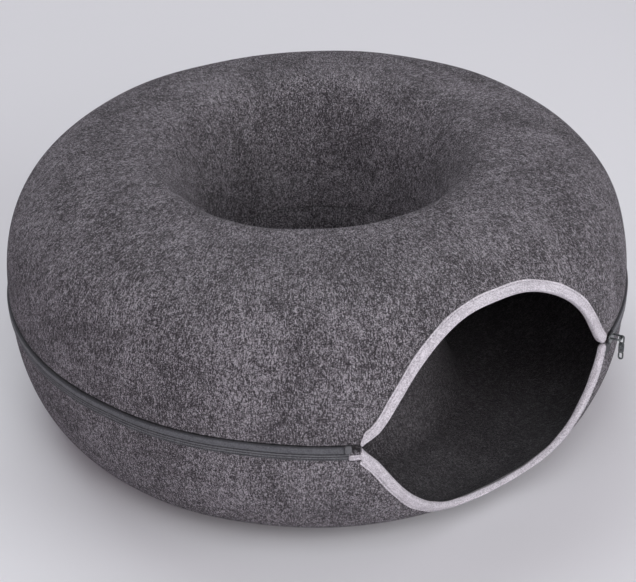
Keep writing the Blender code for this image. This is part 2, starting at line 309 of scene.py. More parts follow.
def newMaterial(name):
    # a material with one shader, whose inputs are filled in later
    made = bpy.data.materials.new(name)
    made.use_nodes = True
    made.node_tree.nodes.clear()
    output = made.node_tree.nodes.new("ShaderNodeOutputMaterial")
    shader = made.node_tree.nodes.new("ShaderNodeBsdfPrincipled")
    made.node_tree.links.new(shader.outputs["BSDF"], output.inputs["Surface"])
    return made, made.node_tree, shader


def put(tree, socket, value):
    # a link where the value comes from a node, and a plain value otherwise
    if isinstance(value, bpy.types.NodeSocket):
        tree.links.new(value, socket)
    else:
        socket.default_value = value


def mathNode(tree, operation, *values, clamp=False):
    # one step of arithmetic on values or sockets
    node = tree.nodes.new("ShaderNodeMath")
    node.operation = operation
    node.use_clamp = clamp
    for socket, value in zip(node.inputs, values):
        put(tree, socket, value)
    return node.outputs[0]


def noiseNode(tree, vector, scale, detail=2.0, roughness=0.5, distortion=0.0):
    # a cloudy pattern from 0 to 1
    node = tree.nodes.new("ShaderNodeTexNoise")
    put(tree, node.inputs["Vector"], vector)
    put(tree, node.inputs["Scale"], scale)
    put(tree, node.inputs["Detail"], detail)
    put(tree, node.inputs["Roughness"], roughness)
    put(tree, node.inputs["Distortion"], distortion)
    return node.outputs["Fac"]


def rampNode(tree, factor, stops):
    # colours at their stops, blended straight between them
    node = tree.nodes.new("ShaderNodeValToRGB")
    put(tree, node.inputs["Fac"], factor)
    while len(node.color_ramp.elements) < len(stops):
        node.color_ramp.elements.new(0.5)
    for element, (place, colour) in zip(node.color_ramp.elements, stops):
        element.position = place
        element.color = (*colour, 1.0)
    return node.outputs["Color"]


def shadeNode(tree, share, colour, shade):
    # the colour times the shade, by its share
    node = tree.nodes.new("ShaderNodeMix")
    node.data_type = "RGBA"
    node.blend_type = "MULTIPLY"
    put(tree, node.inputs["Factor"], share)
    put(tree, node.inputs[6], colour)
    put(tree, node.inputs[7], (*shade, 1.0))
    return node.outputs[2]


def bumpNode(tree, height, strength, distance):
    # a normal that leans with the slope of the height
    node = tree.nodes.new("ShaderNodeBump")
    put(tree, node.inputs["Height"], height)
    node.inputs["Strength"].default_value = strength
    node.inputs["Distance"].default_value = distance
    return node.outputs["Normal"]


def markNode(tree, name):
    # a mark that the mesh carries at each point
    node = tree.nodes.new("ShaderNodeAttribute")
    node.attribute_name = name
    return node.outputs["Vector"]


def objectCoordinates(tree):
    return tree.nodes.new("ShaderNodeTexCoord").outputs["Object"]


# felt

feltLook = {
    "dark": (0.024, 0.018, 0.024),
    "middle": (0.130, 0.116, 0.131),
    "light": (0.600, 0.553, 0.603),
    "stops": (0.16, 0.52, 0.95),
    # each layer's share of the tone, the mean taken off it, and its noise: scale, detail, roughness and
    # distortion
    "layers": {
        "curls": {"share": 0.24, "mean": 0.45, "noise": (210.0, 1.5, 0.55, 0.9), "sharpness": 11.0},
        "wisps": {"share": 0.60, "mean": 0.55, "noise": (800.0, 1.5, 0.55, 0.6), "sharpness": 7.0},
        "streaks": {"share": 2.2, "mean": 0.5, "noise": (1600.0, 3.0, 0.65, 0.7)},
        "grain": {"share": 3.0, "mean": 0.5, "noise": (1050.0, 3.0, 0.8, 0.5)},
        "mottle": {"share": 0.52, "mean": 0.5, "noise": (160.0, 4.0, 0.62, 0.4)},
        "patches": {"share": 0.52, "mean": 0.5, "noise": (26.0, 2.0, 0.5, 0.5)},
    },
    "innerPaintedDimming": 0.5,  # how much of its contrast the face towards the tunnel loses, as painted shade for the dim light inside the tunnel
    # painted shade: the colour of the face towards the tunnel is multiplied by this, standing in for the
    # shade inside the tunnel
    "innerPaintedShade": (0.64, 0.64, 0.64),
    "roughness": 1.0,
    "specular": 0.15,
    "sheen": 0.12,
    "sheenRoughness": 0.6,
    "grainHeight": 0.5,
    "bump": 0.9,
    "bumpDepth": 0.0009,
}


def ridgeNode(tree, level, sharpness):
    # a thin ridge where a noise crosses its middle value: 1 less its distance from there, times the sharpness
    away = mathNode(tree, "ABSOLUTE", mathNode(tree, "SUBTRACT", level, 0.5))
    return mathNode(tree, "SUBTRACT", 1.0, mathNode(tree, "MULTIPLY", away, sharpness), clamp=True)


def makeFelt():
    # matted fibres: the tone is the sum of the layers about their own means, each times its share, so that
    # the shares set the contrast and not the mean; on the face towards the tunnel it is calmer and darker,
    # painted shade for the dim inside of the tunnel
    made, tree, shader = newMaterial("felt")
    place = objectCoordinates(tree)
    fibre = markNode(tree, "fibre")
    split = tree.nodes.new("ShaderNodeSeparateXYZ")
    put(tree, split.inputs[0], markNode(tree, "inner"))
    inner = split.outputs["X"]

    tone, levels = 0.0, {}
    for name, layer in feltLook["layers"].items():
        level = noiseNode(tree, fibre if name == "streaks" else place, *layer["noise"])
        if "sharpness" in layer:
            level = ridgeNode(tree, level, layer["sharpness"])
        levels[name] = level
        tone = mathNode(
            tree, "MULTIPLY_ADD", mathNode(tree, "SUBTRACT", level, layer["mean"]), layer["share"], tone
        )
    # painted shade: less contrast on the face towards the tunnel
    contrast = mathNode(tree, "MULTIPLY_ADD", inner, -feltLook["innerPaintedDimming"], 1.0)
    tone = mathNode(tree, "MULTIPLY_ADD", tone, contrast, 0.5)
    colours = (feltLook["dark"], feltLook["middle"], feltLook["light"])
    colour = rampNode(tree, tone, list(zip(feltLook["stops"], colours)))
    # painted shade: the colour is darkened on the face towards the tunnel
    put(tree, shader.inputs["Base Color"], shadeNode(tree, inner, colour, feltLook["innerPaintedShade"]))
    shader.inputs["Roughness"].default_value = feltLook["roughness"]
    shader.inputs["Specular IOR Level"].default_value = feltLook["specular"]
    shader.inputs["Sheen Weight"].default_value = feltLook["sheen"]
    shader.inputs["Sheen Roughness"].default_value = feltLook["sheenRoughness"]
    height = mathNode(tree, "MULTIPLY_ADD", levels["grain"], feltLook["grainHeight"], tone)
    put(tree, shader.inputs["Normal"], bumpNode(tree, height, feltLook["bump"], feltLook["bumpDepth"]))
    return made


feltFinish = makeFelt()

shell = {
    "ringColumns": 260,
    "faceRows": 105,
    "backRows": 60,
    "cornerRows": 3,
    "cornerRadius": 0.0014,
    "pinch": 0.35,  # share of its thickness that the felt loses at the mouth's cut edge
    "pinchReach": 0.012,
    "pinchTurn": 0.03,  # angle from a corner over which the pinch sets in
    "spreadShare": 0.45,  # share of the section over which the columns spread out
    "fibreScale": 0.17,
    "upperFlat": (0.62, 0.62),
    "upperArea": 0.300,
    "lowerFlat": (0.64, 0.64),
    "lowerArea": 0.318,
}


def makeShell(name, section):
    # a closed strip of felt carried round the ring, pressed thinner near its cut edge; its columns crowd at
    # the mouth's corners and spread out above them by the square of the share of the section
    around = np.linspace(mouth["right"], 2 * np.pi + mouth["left"], shell["ringColumns"] + 1)[1:-1]
    crowded = np.concatenate([mouthAngles(mouth["columns"]), around])
    even = np.concatenate([mouthAngles(mouth["columns"], even=True), around])
    start = lengthAt(section, edgeHeight(section, crowded))
    rowCounts = (shell["faceRows"], shell["backRows"], shell["cornerRows"])
    along, lift = stripOutline(start, section["total"], ring["felt"], shell["cornerRadius"], *rowCounts)
    share = (along - start) / (section["total"] - start)
    angle = crowded + (even - crowded) * np.clip(share / shell["spreadShare"], 0.0, 1.0) ** 2
    wrapped = (crowded + np.pi) % (2 * np.pi) - np.pi
    toCorner = np.minimum(mouth["right"] - wrapped, wrapped - mouth["left"])
    inMouth = np.clip(toCorner / shell["pinchTurn"], 0.0, 1.0)
    pressed = shell["pinch"] * inMouth * np.exp(-(((along - start) / shell["pinchReach"]) ** 2))
    points = skin(section, angle, along, lift * (1.0 - pressed))
    fibre = shell["fibreScale"] * np.stack([np.cos(angle), np.sin(angle), along * section["side"]], axis=-1)
    # the inner mark picks out the face towards the tunnel, where the felt finish paints shade
    inner = np.zeros(fibre.shape)
    inner[..., 0] = np.clip(-lift / ring["felt"], 0.0, 1.0)
    faces = gridFaces(*along.shape, True, True)
    marks = {"fibre": fibre, "inner": inner}
    return makePiece(name, points, faces.tolist(), feltFinish, marks, sharp=60.0)


upperShell = makeShell("upper_felt", upperSection)
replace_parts(upperShell, "upper_shell")
lowerShell = makeShell("lower_felt", lowerSection)
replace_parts(lowerShell, "lower_shell")
print("felt shells made")


# cloth tape, thread and zip finishes

tapeLook = {
    "stops": (0.28, 0.72),
    "threadPitch": 0.00055,
    "ribPitch": 0.0009,
    "twillPitch": 0.0013,
    "drawnStretch": (70.0, 1300.0, 1.0),
    # noise: scale, detail, roughness
    "drawnNoise": (1.0, 3.0, 0.6),
    "grainNoise": (1000.0, 2.0, 0.7),
    "softNoise": (230.0, 3.0, 0.6),
    "wideNoise": (40.0, 2.0, 0.5),
    "threadShare": 0.12,
    "ribShare": 0.12,
    "twillShare": 0.30,
    "drawnShare": 0.60,
    "grainShare": 1.50,
    "softShare": 0.45,
    "wideShare": 0.25,
    # share of the painted light and shade that the mark's third value adds to the tone
    "raised": 0.22,
    "specular": 0.25,
    "sheen": 0.10,
    "sheenRoughness": 0.5,
}
cloths = {
    # darkest, lightest, roughness, bump and its depth
    "pale_tape": ((0.330, 0.303, 0.334), (0.705, 0.665, 0.710), 0.85, 0.55, 0.00025),
    "pale_thread": ((0.20, 0.185, 0.205), (0.44, 0.415, 0.445), 0.7, 0.4, 0.0001),
    "slate_tape": ((0.040, 0.040, 0.045), (0.150, 0.149, 0.162), 0.8, 0.6, 0.0002),
    "zip_chain": ((0.050, 0.050, 0.057), (0.125, 0.125, 0.138), 0.62, 0.5, 0.0002),
    "slate_thread": ((0.07, 0.07, 0.078), (0.26, 0.26, 0.28), 0.7, 0.4, 0.0001),
    "seam_thread": ((0.06, 0.058, 0.063), (0.19, 0.185, 0.195), 0.75, 0.4, 0.0001),
}


def rippleNode(tree, coordinate, pitch):
    # a sine wave from 0 to 1, one wave to each pitch
    turn = mathNode(tree, "MULTIPLY", coordinate, 2 * math.pi / pitch)
    return mathNode(tree, "MULTIPLY_ADD", mathNode(tree, "SINE", turn), 0.5, 0.5)


def makeCloth(name, dark, light, roughness, bump, depth):
    # woven tape: crossed threads along and across it, slanting ribs, drawn-out ridges along it and a soft
    # unevenness, each about its middle and times its share, lighter or darker by the mark's third value,
    # which carries painted light and shade: lighter on the zip tape's beads, darker in its grooves, along the
    # chain's edges and on the strip under the slider
    made, tree, shader = newMaterial(name)
    place, cloth = objectCoordinates(tree), markNode(tree, "cloth")
    split = tree.nodes.new("ShaderNodeSeparateXYZ")
    put(tree, split.inputs[0], cloth)
    along, across = split.outputs["X"], split.outputs["Y"]
    stretched = tree.nodes.new("ShaderNodeVectorMath")
    stretched.operation = "MULTIPLY"
    put(tree, stretched.inputs[0], cloth)
    stretched.inputs[1].default_value = tapeLook["drawnStretch"]
    layers = {
        "thread": rippleNode(tree, along, tapeLook["threadPitch"]),
        "rib": rippleNode(tree, across, tapeLook["ribPitch"]),
        "twill": rippleNode(tree, mathNode(tree, "ADD", along, across), tapeLook["twillPitch"]),
        "drawn": noiseNode(tree, stretched.outputs[0], *tapeLook["drawnNoise"]),
        "grain": noiseNode(tree, place, *tapeLook["grainNoise"]),
        "soft": noiseNode(tree, place, *tapeLook["softNoise"]),
        "wide": noiseNode(tree, place, *tapeLook["wideNoise"]),
    }
    # painted light and shade, from the mark's third value
    tone = mathNode(tree, "MULTIPLY", split.outputs["Z"], tapeLook["raised"])
    for layerName, layer in layers.items():
        away = mathNode(tree, "SUBTRACT", layer, 0.5)
        tone = mathNode(tree, "MULTIPLY_ADD", away, tapeLook[layerName + "Share"], tone)
    tone = mathNode(tree, "ADD", tone, 0.5)
    put(tree, shader.inputs["Base Color"], rampNode(tree, tone, list(zip(tapeLook["stops"], (dark, light)))))
    shader.inputs["Roughness"].default_value = roughness
    shader.inputs["Specular IOR Level"].default_value = tapeLook["specular"]
    shader.inputs["Sheen Weight"].default_value = tapeLook["sheen"]
    shader.inputs["Sheen Roughness"].default_value = tapeLook["sheenRoughness"]
    put(tree, shader.inputs["Normal"], bumpNode(tree, tone, bump, depth))
    return made


clothFinishes = {name: makeCloth(name, *facts) for name, facts in cloths.items()}

hardLook = {
    "stops": (0.35, 0.68),
    "grainNoise": (2600.0, 2.0, 0.6),
    "rubbedNoise": (420.0, 3.0, 0.6, 0.6),
    "grainShare": 0.3,
    "rubbedShare": 0.7,
    "roughnessSpread": 0.24,
    "bump": 0.25,
    "bumpDepth": 0.0001,
}
hards = {
    # darkest, lightest, roughness, metallic
    "end_box": ((0.070, 0.070, 0.076), (0.150, 0.149, 0.160), 0.42, 0.0),
    "gunmetal": ((0.036, 0.041, 0.042), (0.290, 0.308, 0.308), 0.26, 0.9),
}


def makeHard(name, dark, light, roughness, metallic):
    # moulded, or cast and tumbled: the tone is fine grain and rubbed spots, each times its share, and the
    # roughness rises with the grain
    made, tree, shader = newMaterial(name)
    place = objectCoordinates(tree)
    grain = noiseNode(tree, place, *hardLook["grainNoise"])
    rubbed = noiseNode(tree, place, *hardLook["rubbedNoise"])
    fine = mathNode(tree, "MULTIPLY", grain, hardLook["grainShare"])
    tone = mathNode(tree, "MULTIPLY_ADD", rubbed, hardLook["rubbedShare"], fine)
    put(tree, shader.inputs["Base Color"], rampNode(tree, tone, list(zip(hardLook["stops"], (dark, light)))))
    spread = hardLook["roughnessSpread"]
    rough = mathNode(tree, "MULTIPLY_ADD", grain, spread, roughness - spread / 2)
    put(tree, shader.inputs["Roughness"], rough)
    shader.inputs["Metallic"].default_value = metallic
    put(tree, shader.inputs["Normal"], bumpNode(tree, grain, hardLook["bump"], hardLook["bumpDepth"]))
    return made


hardFinishes = {name: makeHard(name, *facts) for name, facts in hards.items()}

stitch = {
    "stations": (-1.0, -0.72, 0.0, 0.72, 1.0),
    "sizes": (0.3, 0.85, 1.0, 0.85, 0.3),
    "around": 6,
    "bow": 0.5,
}


def stitchParts(places, headings, lifts, long, thick):
    # thread showing as short rounded rods: rings of points along each heading, narrow at both ends, bowed
    # outwards by 1 - station squared, and capped
    stations, sizes = np.array(stitch["stations"]), np.array(stitch["sizes"])
    around, count = stitch["around"], len(places)
    each = len(stations) * around
    turn = np.arange(around) * 2 * np.pi / around
    sideways = np.cross(lifts, headings)
    bow = (1.0 - stations**2) * thick * stitch["bow"]
    centres = places[:, None, :] + headings[:, None, :] * (stations * long / 2)[None, :, None]
    centres = centres + lifts[:, None, :] * bow[None, :, None]
    level, upright = np.cos(turn)[None, :, None], np.sin(turn)[None, :, None]
    spoke = level * sideways[:, None, :] + upright * lifts[:, None, :]
    points = centres[:, :, None, :] + spoke[:, None, :, :] * (sizes * thick)[None, :, None, None]
    rings = gridFaces(len(stations), around, False, True)
    faces = (rings[None] + each * np.arange(count)[:, None, None]).reshape(-1, 4).tolist()
    for first in range(0, each * count, each):
        faces.append([first + k for k in range(around)])
        faces.append([first + each - around + k for k in range(around)])
    marks = np.zeros((count * each, 3))
    marks[:, 0] = np.tile(np.repeat(stations * long / 2, around), count)
    return points.reshape(-1, 3), faces, marks


# binding

binding = {
    "leg": 0.0074,
    "upperEndLegs": (0.0044, 0.0058),  # left, right
    "lowerEndLegs": (0.0060, 0.0066),
    "tape": 0.0009,
    "gap": 0.0003,
    "foldReach": 0.0012,
    "cornerReach": 0.0026,  # the two folds nearly meet at the mouth's corners
    "foldSquareness": 3.0,
    "foldStart": 0.12,  # share of the leg at which the fold begins
    "foldPlace": 0.09,
    "foldInside": 0.25,
    "sewnEdge": 1.03,
    "past": (0.0005, 0.0052),  # how far the tape runs on past the left and right corners, along the zip
    "turnReach": 0.0045,  # how far from an end the tape turns square to the zip
    "meetReach": 0.0062,
    "foldMeetReach": 0.0026,
    "rounding": (0.0009, 0.0030),
    "endWidth": 0.3,  # share of the tape's width that is left at its very ends
    "pathSteps": 4000,
    "pastSteps": 200,
    "headingReach": 3,  # steps over which the path's heading is smoothed
    "step": 0.0011,
    "stitchInset": 0.0015,
    "stitchPitch": 0.0031,
    "stitchLength": 0.0021,
    "stitchThickness": 0.00023,
    "stitchRise": 0.00008,
    "channel": 0.00036,
    "channelHalf": 0.0006,
    # share, rate and start of the slow changes in the tape's width and in how far it stands off
    "widthWaves": ((0.025, 190, 0.0), (0.02, 83, 1.0)),
    "puffWaves": ((0.10, 240, 2.0), (0.08, 97, 0.0)),
    "upperFlat": (0.0205, 0.272),
    "lowerFlat": (0.0205, 0.278),
}
# the lower tape ends in a flat tail that lies along the zip, left of the mouth
tail = {
    "reach": (-0.0089, 0.0003),  # from the left corner
    "height": -0.0074,
    "width": 0.0046,
    "thickness": 0.0011,
    "lift": 0.0009,
    "groove": 0.0006,
    "grooveHalf": 0.0005,
    "ends": 0.9995,  # share of its half length at which an end is capped
    "blunt": 20.0,
    "squareness": 0.6,
}


def signedPower(values, exponent):
    # a power that keeps the sign
    return np.sign(values) * np.abs(values) ** exponent


def smoothed(values, reach):
    # a running mean with bell-shaped weights, its ends held
    away = np.arange(-3 * reach, 3 * reach + 1)
    weights = np.exp(-0.5 * (away / reach) ** 2)
    padded = np.pad(values, 3 * reach, mode="edge")
    return np.convolve(padded, weights / weights.sum(), mode="valid")


def cutPath(section):
    # the felt's cut edge at even steps: angle, length along the section, distance run, and the way into the
    # felt, which is a quarter turn from the edge's heading; near the ends bell curves change the tape's sizes
    past = np.array(binding["past"]) / ring["outerRadius"]
    inside = mouthAngles(binding["pathSteps"])
    before = np.linspace(inside[0] - past[0], inside[0], binding["pastSteps"])[:-1]
    after = np.linspace(inside[-1], inside[-1] + past[1], binding["pastSteps"])[1:]
    angle = np.concatenate([before, inside, after])
    length = lengthAt(section, edgeHeight(section, angle))
    radius = np.interp(length, section["length"], section["points"][:, 0])
    step = np.hypot(np.diff(angle) * (radius[1:] + radius[:-1]) / 2, np.diff(length))
    run = np.r_[0.0, np.cumsum(step)]
    even = np.linspace(0.0, run[-1], int(run[-1] / binding["step"]) + 1)
    angle, length, radius = (np.interp(even, run, values) for values in (angle, length, radius))
    heading = np.arctan2(np.gradient(length), np.gradient(angle) * radius)
    heading = smoothed(heading, binding["headingReach"])
    toEnd = np.minimum(even, even[-1] - even)
    heading = heading * (1.0 - np.exp(-((toEnd / binding["turnReach"]) ** 2)))
    meeting = np.exp(-((toEnd / binding["meetReach"]) ** 2))
    foldMeeting = np.exp(-((toEnd / binding["foldMeetReach"]) ** 2))
    ends = binding["upperEndLegs"] if section["side"] > 0 else binding["lowerEndLegs"]
    endLeg = np.where(even < even[-1] / 2, ends[0], ends[1])
    rounding = np.where(even < even[-1] / 2, *binding["rounding"])
    cut = 1.0 - np.clip(toEnd / rounding, 0.0, 1.0)
    endWidth = binding["endWidth"]
    return {
        "angle": angle,
        "length": length,
        "radius": radius,
        "run": even,
        "leg": binding["leg"] + (endLeg - binding["leg"]) * meeting,
        "reach": binding["foldReach"] + (binding["cornerReach"] - binding["foldReach"]) * foldMeeting,
        "width": endWidth + (1.0 - endWidth) * np.sqrt(np.maximum(0.0, 1.0 - cut**2)),
        "intoRound": -np.sin(heading),
        "intoAlong": np.cos(heading),
    }


def feltThickness(distance):
    # the felt is pressed thinner towards its bound edge, by a bell curve of the distance
    bell = np.exp(-((np.maximum(distance, 0.0) / shell["pinchReach"]) ** 2))
    return ring["felt"] * (1.0 - shell["pinch"] * bell)


def onPath(section, path, distance, lift):
    # a point of the skin at a distance into the felt from the cut edge, raised by lift
    angle = path["angle"] + distance * path["intoRound"] / path["radius"]
    return skin(section, angle, path["length"] + distance * path["intoAlong"], lift)


def bindingOutline():
    # rows round the folded tape: share of the leg, share of the reach past the edge, share of the way from
    # the felt's outer face to its inner one, and how far off that face; the fold is a superellipse
    gap, tape = binding["gap"], binding["tape"]
    start, sewn, inside = binding["foldStart"], binding["sewnEdge"], binding["foldInside"]
    exponent = 2.0 / binding["foldSquareness"]
    rows = [(sewn, 0.0, 0.0, gap + tape / 2)]
    rows += [(share, 0.0, 0.0, gap + tape) for share in np.linspace(1.0, start, 18)]
    for turn in np.linspace(0.0, np.pi, 15):
        past = np.sin(turn) ** exponent if 0 < turn < np.pi else 0.0
        across = np.sign(np.cos(turn)) * abs(np.cos(turn)) ** exponent
        rows.append((binding["foldPlace"] * (1.0 - past), past, (1.0 - across) / 2.0, gap + tape))
    rows += [(share, 0.0, 1.0, gap + tape) for share in np.linspace(start, 1.0, 8)]
    rows.append((sewn, 0.0, 1.0, gap + tape / 2))
    rows += [(share, 0.0, 1.0, gap) for share in np.linspace(1.0, 0.0, 8)]
    rows += [(0.0, inside, 0.9, gap), (0.0, inside, 0.1, gap)]
    rows += [(share, 0.0, 0.0, gap) for share in np.linspace(0.0, 1.0, 8)]
    return np.array(rows).T[:, :, None]


def bindingPart(section, path):
    # the outline carried along the cut edge, with a channel at its stitches and a little unevenness
    legShare, reachShare, inner, off = bindingOutline()
    run = path["run"]
    leg = path["leg"] * (1.0 + ripples(run, binding["widthWaves"]))
    middle = (leg - path["reach"]) / 2
    distance = middle + (legShare * leg - reachShare * path["reach"] - middle) * path["width"]
    puff = 1.0 + ripples(run, binding["puffWaves"])
    fromStitches = (distance - leg + binding["stitchInset"]) / binding["channelHalf"]
    channel = binding["channel"] * np.exp(-(fromStitches**2))
    outside = (off > binding["gap"]) * (inner < 0.01)
    raised = off * np.where(off > binding["gap"], puff, 1.0) - channel * outside
    lift = (1.0 - inner) * raised - inner * (feltThickness(distance) + raised)
    points = np.moveaxis(onPath(section, path, distance, lift), 0, 1)
    step = np.hypot(np.diff(distance, axis=0), np.diff(lift, axis=0)).mean(axis=1)
    across = np.broadcast_to(np.r_[0.0, np.cumsum(step)][None, :], points.shape[:2])
    along = np.broadcast_to(run[:, None], points.shape[:2])
    return sweepPart(points, marks=np.stack([along, across, 0.0 * across], axis=-1))


def bindingStitches(section, path):
    # one stitch to each pitch, in the channel beside the sewn edge, heading for the path's next point
    pitch, ahead, above = binding["stitchPitch"], 0.0008, 0.001
    places = np.arange(pitch, path["run"][-1] - pitch, pitch)
    chosen = {key: np.interp(places, path["run"], values) for key, values in path.items()}
    distance = chosen["leg"] - binding["stitchInset"]
    level = binding["gap"] + binding["tape"] - binding["channel"] + binding["stitchRise"]
    centre = onPath(section, chosen, distance, level)
    later = {key: np.interp(places + ahead, path["run"], values) for key, values in path.items()}
    heading = onPath(section, later, distance, level) - centre
    heading /= np.linalg.norm(heading, axis=1)[:, None]
    lifted = onPath(section, chosen, distance, level + above) - centre
    lifted /= np.linalg.norm(lifted, axis=1)[:, None]
    return stitchParts(centre, heading, lifted, binding["stitchLength"], binding["stitchThickness"])


def tailPart():
    # a flat strip along the zip: superellipse sections, blunt ends, and a shallow groove along its middle
    share = np.sin(np.linspace(-np.pi / 2, np.pi / 2, 41))[:, None] * tail["ends"]
    turn = np.linspace(0.0, 2 * np.pi, 40, endpoint=False)[None, :]
    narrow = (1.0 - np.abs(share) ** tail["blunt"]) ** 0.5
    first, last = tail["reach"]
    run = first + (last - first) * (share + 1.0) / 2
    across = signedPower(np.cos(turn), tail["squareness"]) * tail["width"] / 2 * narrow
    out = signedPower(np.sin(turn), tail["squareness"]) * tail["thickness"] / 2 * narrow**0.5
    groove = tail["groove"] * np.exp(-((across / tail["grooveHalf"]) ** 2)) * (out > 0)
    angle = mouth["left"] + run / ring["outerRadius"] + 0.0 * across
    length = lengthAt(lowerSection, zipHeight + tail["height"] + across)
    points = skin(lowerSection, angle, length, tail["lift"] + out - groove)
    return sweepPart(points, marks=np.stack([run + 0.0 * across, across, 0.0 * across], axis=-1))


def makeBindings():
    # one folded tape for each shell, the lower one with the tail, and their stitches
    for label, section, more in (("upper", upperSection, []), ("lower", lowerSection, [tailPart()])):
        path = cutPath(section)
        parts = [bindingPart(section, path)] + more
        tape = makeFromParts(label + "_tape", parts, clothFinishes["pale_tape"], sharp=50)
        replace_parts(tape, label + "_binding")
        stitches = [bindingStitches(section, path)]
        makeFromParts(label + "_stitches", stitches, clothFinishes["pale_thread"])


makeBindings()
print("bindings made")


# zip

zipper = {
    "columns": 620,
    "chainHalf": 0.00288,
    "chainRaised": 0.00008,
    "hidden": 0.0013,  # how much of the chain's height the upper felt's edge covers at the left
    "hiddenAngle": math.radians(-105),
    "hiddenReach": math.radians(44),
    "endPast": 0.0042,  # from the right corner to the end of the tape under the slider
    "endStrip": (-0.0032, -0.0140),
    "chainPaintedShadeReach": 0.0007,  # how far the painted shade on the chain's edges reaches, where it meets the felt and the tape
    "chainOut": 0.0018,
    "chainIn": -0.0007,
    "chainSquareness": 0.5,
    "chainPaintedShade": (0.5, 2.2),  # its faces are lighter, and its edges darker by the second number, painted shade where the chain meets the felt and the tape
    "centreGroove": 0.00022,
    "grooveHalf": 0.00035,
    "tapeTop": -0.0029,
    "tapeBottom": -0.0089,
    "tapeBack": 0.0003,
    "tapeFace": 0.00062,
    "tapePaintedLightAndShade": (-1.2, 2.4),  # its grooves are painted darker as shade, and its beads painted lighter as light, by the second number
    # painted shadow: the tape strip under the slider is darkened to stand for the slider's shadow
    "stripPaintedShadow": -1.3,
    "turnedBehind": 0.0002,  # the part of the lower tape that turns up behind the chain
    "turnedThickness": 0.0005,
    # height, how proud, half-width
    "beads": ((-0.0044, 0.00085, 0.00062), (-0.0065, 0.00080, 0.00066), (-0.0083, 0.00035, 0.00055)),
    "upperTapeHeight": 0.0095,
    "upperTapeThickness": 0.0008,
    "upperTapeBehind": 0.0010,
    "stitchHeight": -0.0065,
    "stitchPitch": 0.0021,
    "stitchLength": 0.0014,
    "stitchThickness": 0.00019,
    "endGap": 0.0003,
    "tailClear": 0.0091,
    "stitchClear": 0.01,  # angle left free of stitches at both ends
    "wander": 0.00012,
    "wanderWaves": ((1.0, 7, 1.0), (1.0, 19, 0.0), (1.0, 31, 2.0)),
    "faceWidth": 0.0102,
    "backWidth": 0.0145,
}
# the zip's fittings, whose sizes also set where the chain starts and ends
endBox = {"size": (0.0050, 0.0028, 0.0064), "shift": 0.0009, "raised": 0.0008, "squareness": 5.0}
slider = {
    "past": 0.01315,  # from the right corner to the middle of the slider
    "plate": (0.0104, 0.0018, 0.0088),  # along the zip, outwards, up
    "plateOut": 0.0020,
    "squareness": 5.0,
    "nose": 0.30,
    "bridgeMiddle": 0.0015,
    "bridgeHalf": 0.0033,
    "bridgeTube": (0.0007, 0.0007),
    "bridgeSquareness": 0.5,
}
pull = {
    "out": 0.0018,
    "ringTube": (0.00058, 0.0007),
    "eye": (0.0044, 0.0078),
    "tongue": (0.0044, 0.0014),
    "tongueSquareness": 6.0,
    "slot": (0.0044, 0.0072),
}


def wandering(angle):
    # small ups and downs of the sewn zip
    return zipper["wander"] * ripples(angle, zipper["wanderWaves"])


def aroundPart(radii, heights, raised, start, end, squeezed=False):
    # an outline of offsets from the outer radius and the zip, carried round the ring with the felt's lumps;
    # squeezed, its height is lower where the upper felt covers its top, by a bell curve of the angle
    count = max(2, int(zipper["columns"] * (end - start) / (2 * np.pi)))
    angle = np.linspace(start, end, count)[:, None]
    radius = ring["outerRadius"] + radii[None, :] + lumps(angle, zipHeight)
    height = settled(angle, zipHeight + heights[None, :] + wandering(angle))
    if squeezed:
        away = (angle - zipper["hiddenAngle"] + np.pi) % (2 * np.pi) - np.pi
        bell = np.exp(-((away / zipper["hiddenReach"]) ** 2))
        height = height - zipper["hidden"] * bell * (heights[None, :] / zipper["chainHalf"] + 1.0) / 2
    points = onRing(radius, angle, height)
    across = np.r_[0.0, np.cumsum(np.hypot(np.diff(radii), np.diff(heights)))]
    # the third mark is the painted light and shade that the cloth finish adds to the tone
    marks = np.broadcast_arrays(angle * ring["outerRadius"], across[None, :], raised[None, :])
    return sweepPart(points, marks=np.stack(marks, axis=-1))


def chainOutline():
    # a rounded band, a little hollow along the line where its two rows meet, with painted shade along its
    # edges
    turn = np.linspace(0.0, 2 * np.pi, 40, endpoint=False)
    squareness = zipper["chainSquareness"]
    height = zipper["chainHalf"] * signedPower(np.sin(turn), squareness) + zipper["chainRaised"]
    middle = (zipper["chainOut"] + zipper["chainIn"]) / 2
    half = (zipper["chainOut"] - zipper["chainIn"]) / 2
    radius = middle + half * signedPower(np.cos(turn), squareness)
    groove = zipper["centreGroove"] * np.exp(-((height / zipper["grooveHalf"]) ** 2)) * (np.cos(turn) > 0)
    # painted shade: the tone drops towards the chain's top and bottom edges
    toEdge = (zipper["chainHalf"] - np.abs(height)) / zipper["chainPaintedShadeReach"]
    base, drop = zipper["chainPaintedShade"]
    return radius - groove, height, base - drop * np.exp(-(toEdge**2))


